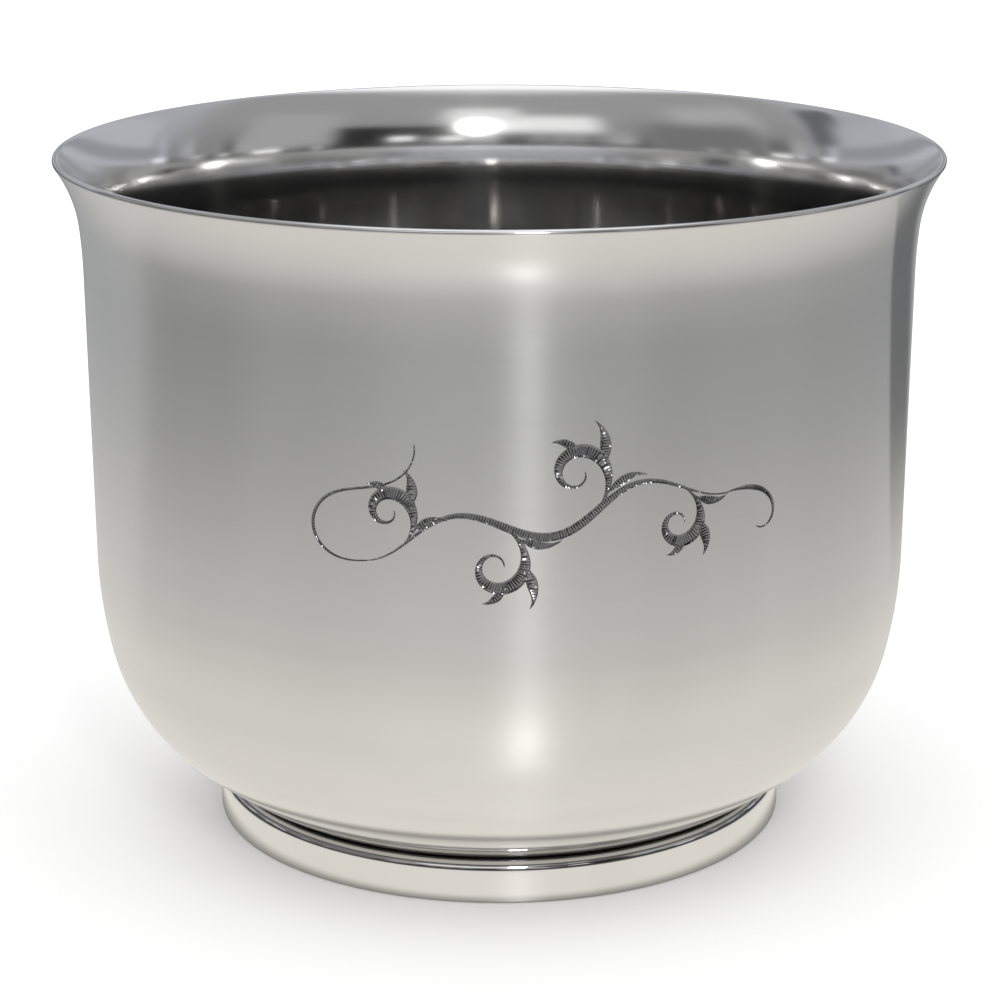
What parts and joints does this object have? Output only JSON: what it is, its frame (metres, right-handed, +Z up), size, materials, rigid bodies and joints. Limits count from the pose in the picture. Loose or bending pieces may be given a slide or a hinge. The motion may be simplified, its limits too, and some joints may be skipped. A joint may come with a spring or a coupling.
{
  "type": "champagne bucket",
  "caption": "Round footed metal champagne bucket: a flared-lip bowl on a hollow foot ring, open at the top to hold ice and a bottle.",
  "frame": {"origin": "centre of the foot's underside, on the table", "axes": "+Z up along the axis of revolution, -Y towards the viewer"},
  "size_m": [0.2602, 0.2602, 0.2026],
  "materials": {
    "polished_bowl": "silver plate, mirror polished with faint turning lines",
    "polished_foot": "silver plate, mirror polished",
    "solder": "soft solder, dull silver grey",
    "base_wire": "silver plated brass wire, rubbed where it stands on the table"
  },
  "bodies": {
    "root": {"bowl": "polished_bowl", "foot_ring": "polished_foot", "foot_solder_fillet": "solder", "foot_base_wire": "base_wire"}
  },
  "joints": []
}
